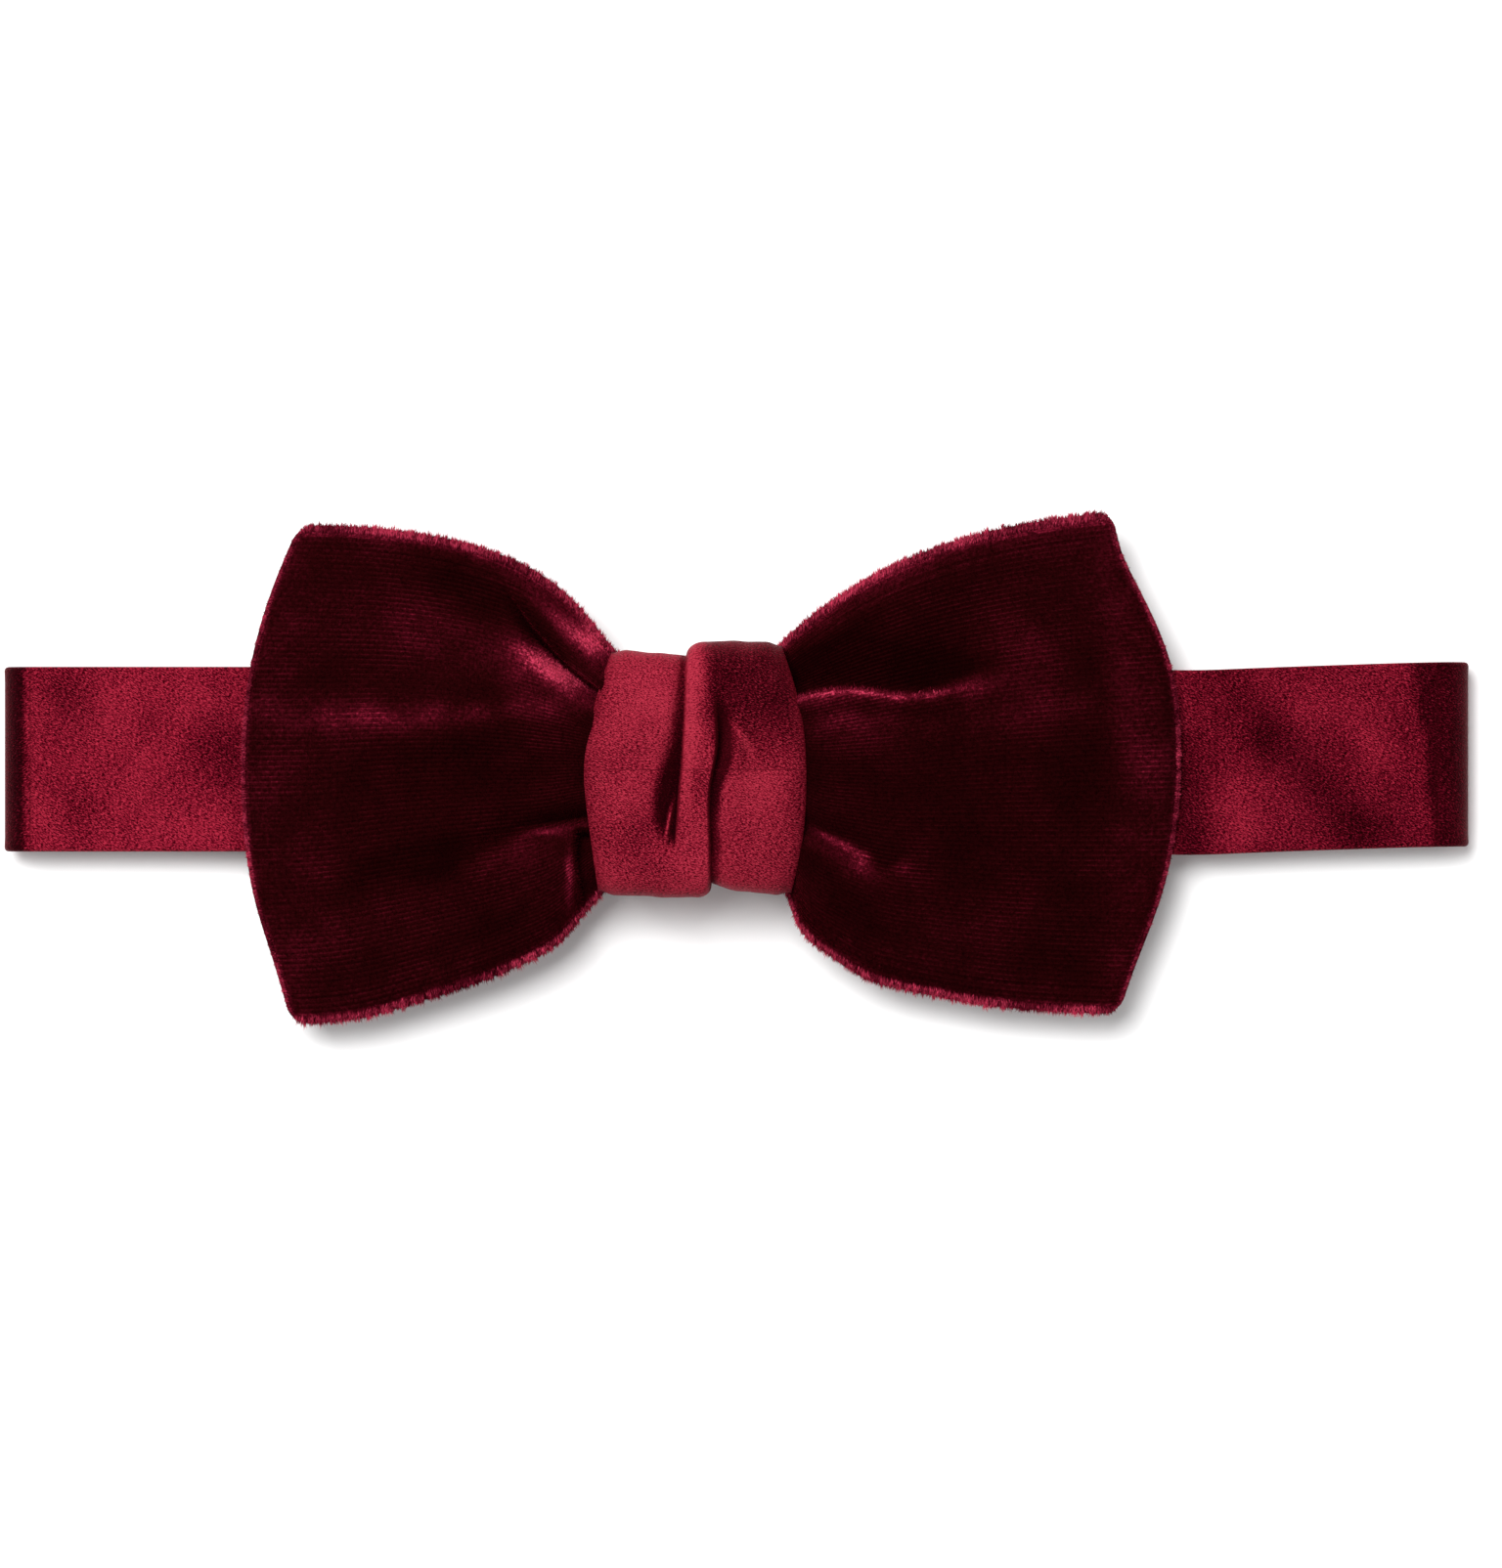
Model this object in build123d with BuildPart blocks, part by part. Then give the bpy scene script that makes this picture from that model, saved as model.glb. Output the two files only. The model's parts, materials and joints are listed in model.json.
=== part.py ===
from build123d import *
import os

# A pre-tied bow tie, lying on its back: a velvet bow with a satin back, pinched by a satin
# knot, on a satin neck band. The band folds at both ends and runs back behind the bow. Its
# right end carries an eye. Its left end runs through a slider, round the bar of a hook and
# back to the slider, where it is sewn, so that the slider's place sets the neck size.
# Millimetres. +X is along the band, +Y up the bow, +Z out of the bow's front. The origin is
# on the surface that the tie lies on, under the middle of its outline.

# ---- Driving dimensions ------------------------------------------------------------------
half_length = 97.2  # from the origin to each fold of the neck band
band_width = 24.6
band_y = 1.35  # the band lies a little above the middle of the bow
strap = 1.1  # thickness of the band: a satin tube with canvas in it
canvas = 0.5  # thickness of the band's canvas
canvas_room = 0.56  # the space for it inside the tube
side_wall = 0.5  # satin at the tube's edges
layer_gap = 0.1  # between layers that lie on each other

bar = 1.3  # diameter of the bars that the strap turns round
turn_inner = 0.7  # inside radius of the strap on a bar
turn_outer = turn_inner + strap
arm = 1.5  # width of the hardware's side arms
arm_room = 0.3  # between an arm and the strap's edge

slider_x = -48.0  # middle bar of the slider
hook_x = -16.0  # the hook's bar
eye_x = 13.5  # the eye's bar
slider_plate = 1.0  # thickness of the slider's outer bars

knot_x, knot_y = -5.45, -0.05  # middle of the knot
knot_height = 33.9
wrap = 1.3  # thickness of the knot's folded satin
knot_front = 22.5  # the knot's highest point
crown_top = 19.3  # the velvet's highest point, inside the knot
velvet = 1.5
lining = 0.5
wing_stiffener = 0.8

# ---- Levels, from the surface up ---------------------------------------------------------
running_z = slider_plate + 0.05  # underside of the left strap, on the slider's outer bars
hook_z = running_z + turn_outer  # the hook's bar
return_z = hook_z + turn_inner  # underside of the strap on its way back to the slider
eye_z = turn_outer  # the eye's bar
hem_z = eye_z + turn_inner  # underside of the hem at the eye
knot_back = 5.3
band_z = knot_back + wrap + layer_gap  # underside of the band behind the bow
lining_z = band_z + strap + layer_gap
stiffener_z = lining_z + lining + 0.05
velvet_z = stiffener_z + wing_stiffener + 0.05

# ---- The band's folds --------------------------------------------------------------------
front_mid = band_z + strap / 2
left_mid = running_z + strap / 2
right_mid = strap / 2
left_radius = (front_mid - left_mid) / 2
right_radius = (front_mid - right_mid) / 2
left_fold_x = left_radius + strap / 2 - half_length
right_fold_x = half_length - right_radius - strap / 2

# ---- The bow's outline -------------------------------------------------------------------
# Each wing's three edges: the top one outwards, the outer one down, the bottom one inwards.
left_wing = (
    [(-17.4, 13.9), (-19.2, 19.4), (-29.5, 27.3), (-45.9, 32.0), (-57.2, 32.5)],
    [(-57.2, 32.5), (-63.2, 20.4), (-66.0, 1.0), (-63.6, -20.5), (-58.6, -34.1)],
    [(-58.6, -34.1), (-44.1, -31.9), (-29.5, -27.0), (-19.6, -18.6), (-18.5, -13.9)],
)
right_wing = (
    [(7.0, 13.9), (8.6, 19.3), (20.2, 27.0), (34.0, 31.9), (49.6, 34.1)],
    [(49.6, 34.1), (55.4, 20.4), (59.4, 1.0), (55.6, -18.6), (50.6, -32.4)],
    [(50.6, -32.4), (32.9, -31.3), (18.5, -28.2), (8.6, -20.2), (7.8, -13.9)],
)
neck_left, neck_right, neck_half = -18.8, 8.1, 13.9  # the gathers inside the knot
bow_reach = 80.0  # beyond the bow's outline, for solids that are cut to it
# The bow's front from tip to tip, and from its lower edge to its upper one.
crown = [(-66.4, 10.6), (-45.0, 14.2), (-26.0, 18.0), (knot_x, crown_top)]
crown += [(15.0, 18.0), (37.0, 14.2), (59.8, 10.6)]
dome = [(-36.0, 11.0), (0.0, 20.6), (36.0, 11.0)]

os.makedirs("parts", exist_ok=True)


def save(piece, name):
    """Labels a finished piece and writes it as one STEP file."""
    piece.part.label = name
    export_step(piece.part, f"parts/{name}.step")


# ---- The bow -----------------------------------------------------------------------------
def wing_face(wing, inset):
    """One wing's outline, drawn in towards its middle by inset."""
    left = min(x for edge in wing for x, _ in edge)
    right = max(x for edge in wing for x, _ in edge)
    top = max(y for edge in wing for _, y in edge)
    middle, half = (left + right) / 2, (right - left) / 2

    def drawn_in(point):
        x, y = point
        return (x - inset * (x - middle) / half, y - inset * y / top)

    with BuildSketch() as face:
        with BuildLine():
            for edge in wing:
                Spline(*[drawn_in(point) for point in edge])
            Line(drawn_in(wing[2][-1]), drawn_in(wing[0][0]))
        make_face()
    return face.sketch


def bow_face(inset, with_neck=True):
    """Both wings, and the gathers between them, in the sketch being built."""
    add(wing_face(left_wing, inset))
    add(wing_face(right_wing, inset))
    if with_neck:
        with Locations(((neck_left + neck_right) / 2, 0)):
            Rectangle(neck_right - neck_left + 4 * inset, 2 * (neck_half - inset))


def under_curve(curve, lowered):
    """The space below a curve that is lowered by an amount, in the sketch being built."""
    points = [(across, height - lowered) for across, height in curve]
    with BuildLine() as outline:
        Spline(*points)
        Polyline(points[-1], (points[-1][0], 0), (points[0][0], 0), points[0])
    make_face(outline.edges())


def bow_block(base, inset, with_neck):
    """The bow as a domed block that stands on a base level, smaller all round by inset."""
    with BuildPart() as block:
        with BuildSketch(Plane.XY.offset(base)):
            bow_face(inset, with_neck)
        extrude(amount=crown_top)
        with BuildSketch(Plane.XZ):
            under_curve(crown, inset)
        extrude(amount=bow_reach, both=True, mode=Mode.INTERSECT)
        with BuildSketch(Plane.YZ):
            under_curve(dome, inset)
        extrude(amount=bow_reach, both=True, mode=Mode.INTERSECT)
    return block


# The velvet is one shell whose edges turn down, hollow in the wings and gathered solid
# inside the knot.
bow_outside = bow_block(velvet_z, 0, with_neck=True)
wing_spaces = bow_block(velvet_z - 1, velvet, with_neck=False)
with BuildPart() as bow_velvet:
    add(bow_outside.part)
    add(wing_spaces.part, mode=Mode.SUBTRACT)
save(bow_velvet, "bow_velvet")


def bow_layer(base, thickness, inset):
    """A flat layer of the bow's outline, smaller all round by inset."""
    with BuildPart() as layer:
        with BuildSketch(Plane.XY.offset(base)):
            bow_face(inset)
        extrude(amount=thickness)
    return layer


save(bow_layer(stiffener_z, wing_stiffener, 1.0), "bow_stiffener")
save(bow_layer(lining_z, lining, 0), "bow_lining")

# ---- The knot ----------------------------------------------------------------------------
# A folded satin strip goes round the gathers and the band, and is sewn shut behind.
knot_left = [(-16.6, 17.4), (-20.2, -2.0), (-17.3, -17.4)]
knot_right = [(6.9, -17.4), (9.3, -3.0), (5.9, 17.4)]
front_round, back_round = 6.0, 1.5
pleat = [(-6.4, 18.0), (-3.3, -18.0)]  # the fold that crosses the knot's front
pleat_width, pleat_depth = 0.7, 0.6
above = 40.0  # higher than the whole tie

with BuildPart() as knot_wrap:
    with BuildSketch(Plane.YZ) as ring:
        with Locations((knot_y, (knot_back + knot_front) / 2)):
            Rectangle(knot_height, knot_front - knot_back)
        fillet(ring.vertices().group_by(Axis.Y)[-1], front_round)
        fillet(ring.vertices().group_by(Axis.Y)[0], back_round)
        offset(amount=-wrap, mode=Mode.SUBTRACT)
    extrude(amount=above, both=True)
    with BuildSketch(Plane.XY):
        with BuildLine():
            ThreePointArc(*knot_left)
            Line(knot_left[-1], knot_right[0])
            ThreePointArc(*knot_right)
            Line(knot_right[-1], knot_left[0])
        make_face()
    extrude(amount=above, mode=Mode.INTERSECT)
    with BuildSketch(Plane.XY.offset(knot_front - pleat_depth)):
        with BuildLine() as pleat_line:
            Line(*pleat)
        trace(pleat_line.line, pleat_width)
    extrude(amount=2 * pleat_depth, mode=Mode.SUBTRACT)
save(knot_wrap, "knot_wrap")

pad_length, pad_width, pad_corner = 21.0, 20.0, 2.0
pad_z = crown_top + layer_gap
with BuildPart() as knot_pad:
    with BuildSketch(Plane.XY.offset(pad_z)):
        with Locations((knot_x, knot_y)):
            RectangleRounded(pad_length, pad_width, pad_corner)
    extrude(amount=knot_front - wrap - layer_gap - pad_z)
save(knot_pad, "knot_pad")


# ---- Straps ------------------------------------------------------------------------------
def strip(path, thickness, width):
    """A strip of even thickness that follows a line in the XZ plane, centred on the band."""
    with BuildPart() as piece:
        with BuildSketch(Plane.XZ.offset(-band_y)):
            trace(path.line, thickness)
        extrude(amount=width / 2, both=True)
    return piece


def satin_tube(path):
    """A length of the band's satin, hollow for its canvas."""
    outside = strip(path, strap, band_width)
    room = strip(path, canvas_room, band_width - 2 * side_wall)
    with BuildPart() as tube:
        add(outside.part)
        add(room.part, mode=Mode.SUBTRACT)
    return tube


with BuildLine() as front_path:
    Line((left_fold_x, front_mid), (right_fold_x, front_mid))
with BuildLine() as left_fold_path:
    CenterArc((left_fold_x, front_mid - left_radius), left_radius, 90, 180)
with BuildLine() as right_fold_path:
    CenterArc((right_fold_x, front_mid - right_radius), right_radius, -90, 180)
with BuildLine() as left_path:
    Line((left_fold_x, left_mid), (slider_x, left_mid))
with BuildLine() as right_path:
    Line((eye_x, right_mid), (right_fold_x, right_mid))

# The band is one strip. Its five lengths are nodes of their own because its folds bend.
band_lengths = {
    "front_band": front_path,
    "left_fold": left_fold_path,
    "right_fold": right_fold_path,
    "left_band": left_path,
    "right_band": right_path,
}
for name, path in band_lengths.items():
    save(satin_tube(path), f"{name}_satin")
    save(strip(path, canvas, band_width - 2 * side_wall - 0.2), f"{name}_canvas")


def turned_face(centre_x, centre_z, side):
    """Half a turn of strap round a bar, on its right (side 1) or left (side -1)."""
    top, bottom = centre_z + turn_outer, centre_z - turn_outer
    inner_top, inner_bottom = centre_z + turn_inner, centre_z - turn_inner
    outside_x, inside_x = centre_x + side * turn_outer, centre_x + side * turn_inner
    with BuildLine() as outline:
        ThreePointArc((centre_x, bottom), (outside_x, centre_z), (centre_x, top))
        Line((centre_x, top), (centre_x, inner_top))
        ThreePointArc((centre_x, inner_top), (inside_x, centre_z), (centre_x, inner_bottom))
        Line((centre_x, inner_bottom), (centre_x, bottom))
    make_face(outline.edges())


# At its right end the band turns round the eye's bar and is sewn down on itself.
hem_length = 16.0
with BuildPart() as right_band_hem:
    with BuildSketch(Plane.XZ.offset(-band_y)):
        turned_face(eye_x, eye_z, -1)
        with Locations((eye_x + hem_length / 2, hem_z + strap / 2)):
            Rectangle(hem_length, strap)
    extrude(amount=band_width / 2, both=True)
save(right_band_hem, "right_band_hem")

# At its left end it goes on from the slider to the hook, turns, and comes back to be sewn
# round the slider's middle bar, where it is a single layer of satin.
single = 0.55  # thickness of one layer of folded satin
slider_bar_z = running_z + strap + 0.05 + single + turn_inner
with BuildPart() as adjuster_running:
    with BuildSketch(Plane.XZ.offset(-band_y)):
        with Locations(((slider_x + hook_x) / 2, left_mid)):
            Rectangle(hook_x - slider_x, strap)
    extrude(amount=band_width / 2, both=True)
save(adjuster_running, "adjuster_running")

with BuildPart() as adjuster_turn:
    with BuildSketch(Plane.XZ.offset(-band_y)):
        turned_face(hook_x, hook_z, 1)
    extrude(amount=band_width / 2, both=True)
save(adjuster_turn, "adjuster_turn")

adjuster_hem = 10.0  # the part that is folded under and sewn
with BuildPart() as adjuster_return:
    with BuildSketch(Plane.XZ.offset(-band_y)):
        with Locations((slider_x, slider_bar_z)):
            Circle(turn_inner + single)
        with Locations(((slider_x + hook_x) / 2, return_z + strap / 2)):
            Rectangle(hook_x - slider_x, strap)
        with Locations((slider_x + adjuster_hem / 2, return_z - single / 2)):
            Rectangle(adjuster_hem, single)
        with Locations((slider_x, slider_bar_z)):
            Circle(turn_inner, mode=Mode.SUBTRACT)
    extrude(amount=band_width / 2, both=True)
save(adjuster_return, "adjuster_return")

# ---- Thread ------------------------------------------------------------------------------
thread = 0.4
seat = thread / 2 + 0.02  # from a cloth face to the middle of a thread that lies on it


def stitch_row(x, z, count, spacing, length, slant):
    """Straight stitches in a row up the band, at height z, turned from the band by slant."""
    with Locations((x, band_y, z)):
        with GridLocations(1, spacing, 1, count):
            with Locations(Location((0, 0, 0), (0, 0, slant))):
                Cylinder(thread / 2, length, rotation=(0, 90, 0))


with BuildPart() as knot_stitches:
    stitch_row(knot_x, knot_back - seat, 10, 2.6, 3.4, 25)
save(knot_stitches, "knot_stitches")

bow_tack = 16.8  # from the knot's middle to the stitches that hold the bow to the band
with BuildPart() as bow_stitches:
    for side in (-1, 1):
        stitch_row(knot_x + side * bow_tack, band_z - seat, 7, 3.0, 2.2, 90)
save(bow_stitches, "bow_stitches")

with BuildPart() as hem_stitches:
    for place in (hem_length - 2.0, hem_length - 9.0):
        stitch_row(eye_x + place, hem_z + strap + seat, 9, 2.6, 2.0, 90)
save(hem_stitches, "hem_stitches")

with BuildPart() as adjuster_stitches:
    for place in (3.5, adjuster_hem - 2.0):
        stitch_row(slider_x + place, return_z + strap + seat, 9, 2.6, 2.0, 90)
save(adjuster_stitches, "adjuster_stitches")

# ---- Slider, hook and eye ----------------------------------------------------------------
inner_width = band_width + 2 * arm_room
outer_width = inner_width + 2 * arm


def cross_bar(x, z):
    """A round bar across the strap, from arm to arm."""
    with Locations(Location((x, band_y, z), (90, 0, 0))):
        Cylinder(bar / 2, outer_width - arm)


# The slider: two outer bars below the strap, arched sides, and the bar that it is sewn to.
slider_half = 6.0
slider_rail = 1.6  # width of an outer bar
slider_arch = 1.6  # half the length of each side's flat top
slider_top = slider_bar_z + bar / 2 + 0.1
with BuildPart() as slider:
    with BuildSketch(Plane.XZ.offset(-band_y)):
        with BuildLine():
            FilletPolyline(
                (slider_x - slider_half, 0),
                (slider_x - slider_half, slider_plate),
                (slider_x - slider_arch, slider_top),
                (slider_x + slider_arch, slider_top),
                (slider_x + slider_half, slider_plate),
                (slider_x + slider_half, 0),
                radius=0.45,
                close=True,
            )
        make_face()
    extrude(amount=outer_width / 2, both=True)
    with BuildSketch(Plane.XZ.offset(-band_y)):
        with Locations((slider_x, above / 2 + slider_plate)):
            Rectangle(4 * slider_half, above)
        with Locations((slider_x, 0)):
            Rectangle(2 * (slider_half - slider_rail), 3 * slider_plate)
    extrude(amount=inner_width / 2, both=True, mode=Mode.SUBTRACT)
    cross_bar(slider_x, slider_bar_z)
save(slider, "slider")

# The hook: a bar, side arms, a plate across, and a tongue that curls back below.
hook_plate = 0.9
plate_start, plate_end = 3.2, 6.4  # from the hook's bar
plate_corner = 0.6
tongue_width = 9.0
tongue_length = 12.0
hook_opening = 1.4
curl = (hook_opening + hook_plate) / 2  # mean radius
lip_start = 7.0
with BuildPart() as hook:
    with BuildSketch(Plane.XY.offset(hook_z - hook_plate / 2)):
        with Locations((hook_x + (plate_end - bar / 2) / 2, band_y)):
            RectangleRounded(plate_end + bar / 2, outer_width, plate_corner)
        with Locations((hook_x + (plate_start - bar) / 2, band_y)):
            Rectangle(plate_start + bar, inner_width, mode=Mode.SUBTRACT)
    extrude(amount=hook_plate)
    cross_bar(hook_x, hook_z)
    with BuildSketch(Plane.XZ.offset(-band_y)):
        with BuildLine() as tongue:
            top_run = Line((hook_x + plate_end - 1, hook_z), (hook_x + tongue_length, hook_z))
            bend = ThreePointArc(
                top_run @ 1,
                (hook_x + tongue_length + curl, hook_z - curl),
                (hook_x + tongue_length, hook_z - 2 * curl),
            )
            Line(bend @ 1, (hook_x + lip_start, hook_z - 2 * curl))
        trace(tongue.line, hook_plate)
    extrude(amount=tongue_width / 2, both=True)
save(hook, "hook")

# The eye: a flat ring whose two long sides are the strap's bar and the bar for the hook.
eye_length = 9.0  # between the two bars
eye_plate = 1.2
eye_corner = 1.2
with BuildPart() as eye:
    with BuildSketch(Plane.XY.offset(eye_z - eye_plate / 2)):
        with Locations((eye_x - eye_length / 2, band_y)):
            RectangleRounded(eye_length + bar, outer_width, eye_corner)
        with Locations((eye_x - eye_length / 2 + bar, band_y)):
            Rectangle(eye_length + bar, inner_width, mode=Mode.SUBTRACT)
    extrude(amount=eye_plate)
    cross_bar(eye_x, eye_z)
save(eye, "eye")
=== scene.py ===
import json
import math

import bpy
import numpy as np
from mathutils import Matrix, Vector

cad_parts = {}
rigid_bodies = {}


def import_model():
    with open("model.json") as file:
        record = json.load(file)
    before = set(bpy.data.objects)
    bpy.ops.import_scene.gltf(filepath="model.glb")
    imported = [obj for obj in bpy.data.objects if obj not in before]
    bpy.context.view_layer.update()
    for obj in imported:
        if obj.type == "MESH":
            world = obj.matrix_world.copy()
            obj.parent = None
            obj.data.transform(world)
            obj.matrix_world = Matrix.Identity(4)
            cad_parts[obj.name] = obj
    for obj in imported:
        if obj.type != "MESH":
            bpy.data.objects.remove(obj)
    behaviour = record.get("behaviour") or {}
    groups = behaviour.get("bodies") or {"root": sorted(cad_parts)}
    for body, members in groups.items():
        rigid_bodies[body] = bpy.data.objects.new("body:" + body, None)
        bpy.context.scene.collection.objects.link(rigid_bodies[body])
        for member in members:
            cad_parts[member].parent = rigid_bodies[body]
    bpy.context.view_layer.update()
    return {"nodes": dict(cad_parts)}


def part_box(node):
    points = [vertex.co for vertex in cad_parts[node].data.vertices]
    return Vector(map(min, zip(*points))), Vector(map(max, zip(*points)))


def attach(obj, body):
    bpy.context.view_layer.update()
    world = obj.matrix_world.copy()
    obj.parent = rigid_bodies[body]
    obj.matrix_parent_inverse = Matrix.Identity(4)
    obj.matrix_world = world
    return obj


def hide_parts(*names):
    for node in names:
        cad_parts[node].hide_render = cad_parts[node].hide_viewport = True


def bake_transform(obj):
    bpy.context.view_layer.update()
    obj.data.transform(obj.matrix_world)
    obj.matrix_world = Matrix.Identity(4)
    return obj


for thing in list(bpy.data.objects):
    bpy.data.objects.remove(thing)

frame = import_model()

# A velvet bow tie on its back. Lengths in this script are millimetres in the CAD's frame,
# and MM turns them into metres where a mesh is made. +X runs along the band, +Y up the bow
# and +Z out of the bow's front.
MM = 0.001


def cad_box(node):
    """(lowest corner, highest corner) of a CAD node, in millimetres."""
    low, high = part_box(node)
    return np.array(low) / MM, np.array(high) / MM


# ---- Curves and fields ---------------------------------------------------------------------
def cubic(knots, values):
    """A smooth curve through values at increasing knots, as a function."""
    knots, values = np.asarray(knots, float), np.asarray(values, float)
    count, gaps = len(knots), np.diff(knots)
    matrix, right = np.eye(count), np.zeros_like(values)
    for i in range(1, count - 1):
        matrix[i, i - 1 : i + 2] = gaps[i - 1], 2 * (gaps[i - 1] + gaps[i]), gaps[i]
        right[i] = 6 * (
            (values[i + 1] - values[i]) / gaps[i] - (values[i] - values[i - 1]) / gaps[i - 1]
        )
    bend = np.linalg.solve(matrix, right)

    def at(t):
        t = np.clip(np.asarray(t, float), knots[0], knots[-1])
        i = np.clip(np.searchsorted(knots, t, side="right") - 1, 0, count - 2)
        a, b, gap = t - knots[i], knots[i + 1] - t, gaps[i]
        if values.ndim > 1:
            a, b, gap = a[..., None], b[..., None], gap[..., None]
        return (
            (bend[i] * b**3 + bend[i + 1] * a**3) / (6 * gap)
            + (values[i] / gap - bend[i] * gap / 6) * b
            + (values[i + 1] / gap - bend[i + 1] * gap / 6) * a
        )

    return at


def through(points):
    """A smooth curve through points, from 0 at the first to 1 at the last."""
    points = np.asarray(points, float)
    knots = np.concatenate([[0], np.cumsum(np.linalg.norm(np.diff(points, axis=0), axis=1))])
    return cubic(knots / knots[-1], points)


def profile(*points):
    """A smooth function through (place, value) points."""
    places, values = zip(*points)
    return cubic(places, values)


def ease(low, high, x):
    """0 below low, 1 above high, smooth between; low may be the larger."""
    t = np.clip((x - low) / (high - low), 0, 1)
    return t * t * (3 - 2 * t)


def hump(x, width):
    """1 at 0, falling to nothing a few widths away."""
    return np.exp(-((x / width) ** 2))


def waves(x, y, size, seed, octaves=3):
    """Smooth uneven ripples, about -1 to 1, whose largest are size across."""
    random = np.random.default_rng(seed)
    total = np.zeros(np.broadcast(x, y).shape)
    for octave in range(octaves):
        scale = 2 * math.pi / size * 1.9**octave
        for _ in range(5):
            angle, shift = random.uniform(0, math.tau, 2)
            stretch = random.uniform(0.7, 1.3)
            along = x * math.cos(angle) + y * math.sin(angle)
            total += np.sin(along * scale * stretch + shift) / 5 / 1.7**octave
    return total


# ---- Meshes --------------------------------------------------------------------------------
def make_object(name, points, faces, material, smooth=True):
    """A mesh object made from points in millimetres."""
    mesh = bpy.data.meshes.new(name)
    mesh.from_pydata((np.asarray(points) * MM).tolist(), [], faces)
    mesh.materials.append(material)
    if smooth:
        mesh.shade_smooth()
    thing = bpy.data.objects.new(name, mesh)
    bpy.context.collection.objects.link(thing)
    return thing


def grid_faces(rows, columns, ring_rows=False, ring_columns=False):
    """Quads of a grid of rows x columns points, closed into a ring either way."""
    r, c = np.meshgrid(
        np.arange(rows if ring_rows else rows - 1),
        np.arange(columns if ring_columns else columns - 1),
        indexing="ij",
    )
    r2, c2 = (r + 1) % rows, (c + 1) % columns
    quads = np.stack([r * columns + c, r2 * columns + c, r2 * columns + c2, r * columns + c2], -1)
    return quads.reshape(-1, 4)


def add_uv(thing, coordinates):
    """One UV coordinate for each vertex, in millimetres of cloth."""
    mesh = thing.data
    corner = np.zeros(len(mesh.loops), np.int32)
    mesh.loops.foreach_get("vertex_index", corner)
    layer = mesh.uv_layers.new(name="cloth")
    layer.data.foreach_set("uv", np.asarray(coordinates, np.float32)[corner].ravel())


def add_value(thing, name, values):
    """One number for each vertex, which a material can read by its name."""
    attribute = thing.data.attributes.new(name, "FLOAT", "POINT")
    attribute.data.foreach_set("value", np.asarray(values, np.float32).ravel())


def normals_of(points):
    """Unit normals of a grid of points, upwards where rows run along X and columns along Y."""
    along = np.gradient(points, axis=0)
    across = np.gradient(points, axis=1)
    normal = np.cross(along, across)
    normal /= np.maximum(np.linalg.norm(normal, axis=-1, keepdims=True), 1e-9)
    return normal * np.sign(normal[..., 2:3].mean())


# ---- Materials -----------------------------------------------------------------------------
class Shader:
    """A node material, built up a node at a time."""

    def __init__(self, name):
        self.material = bpy.data.materials.new(name)
        self.material.use_nodes = True
        self.tree = self.material.node_tree
        self.surface = self.tree.nodes["Principled BSDF"]

    def node(self, kind, settings=None, **inputs):
        made = self.tree.nodes.new("ShaderNode" + kind)
        for key, value in (settings or {}).items():
            setattr(made, key, value)
        for key, value in inputs.items():
            name = key.replace("_", " ")
            numbered = key[0] == "i" and key[1:].isdigit()
            self.feed(made.inputs[int(key[1:]) if numbered else name], value)
        return made

    def feed(self, socket, value):
        if hasattr(value, "is_output"):
            self.tree.links.new(value, socket)
        else:
            socket.default_value = value

    def math(self, operation, first, second=0.0):
        return self.node("Math", {"operation": operation}, i0=first, i1=second).outputs[0]

    def ramp(self, value, *stops):
        made = self.node("ValToRGB", Fac=value)
        elements = made.color_ramp.elements
        while len(elements) < len(stops):
            elements.new(0.5)
        for element, (place, colour) in zip(elements, stops):
            element.position = place
            element.color = (*colour, 1)
        return made.outputs["Color"]

    def mix(self, factor, first, second):
        made = self.node("Mix", {"data_type": "RGBA"})
        self.feed(made.inputs["Factor"], factor)
        self.feed(made.inputs["A"], first)
        self.feed(made.inputs["B"], second)
        return made.outputs["Result"]

    def set(self, **inputs):
        for key, value in inputs.items():
            self.feed(self.surface.inputs[key.replace("_", " ")], value)

    def bump(self, height, distance, strength):
        made = self.node("Bump", Strength=strength, Distance=distance * MM, Height=height)
        return made.outputs["Normal"]

    def value(self, name):
        """One of a mesh's own values, as add_value gives it."""
        return self.node("Attribute", {"attribute_name": name}).outputs["Fac"]

    def cloth_place(self, across=1.0, along=1.0, turn=0.0):
        """The cloth's own coordinates, turned by some degrees and then stretched."""
        uv = self.node("UVMap", {"uv_map": "cloth"}).outputs["UV"]
        if turn:
            uv = self.node("Mapping", Vector=uv, Rotation=(0, 0, math.radians(turn))).outputs["Vector"]
        return self.node("Mapping", Vector=uv, Scale=(across, along, 1)).outputs["Vector"]

    def noise(self, place, scale, detail=2.0, roughness=0.5, distortion=0.0):
        return self.node(
            "TexNoise", Vector=place, Scale=scale, Detail=detail, Roughness=roughness,
            Distortion=distortion,
        ).outputs["Fac"]


def rgb(red, green, blue):
    return (red, green, blue, 1.0)


def velvet_colours(s, value):
    """From nearly black to pink: the pink end is painted sheen, the look of pile seen from the side."""
    return s.ramp(
        value,
        (0.00, (0.0060, 0.0004, 0.0005)),
        (0.25, (0.0160, 0.0009, 0.0015)),
        (0.50, (0.0460, 0.0020, 0.0053)),
        (0.75, (0.1500, 0.0065, 0.0200)),
        (1.00, (0.5200, 0.0400, 0.0900)),
    )


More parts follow.
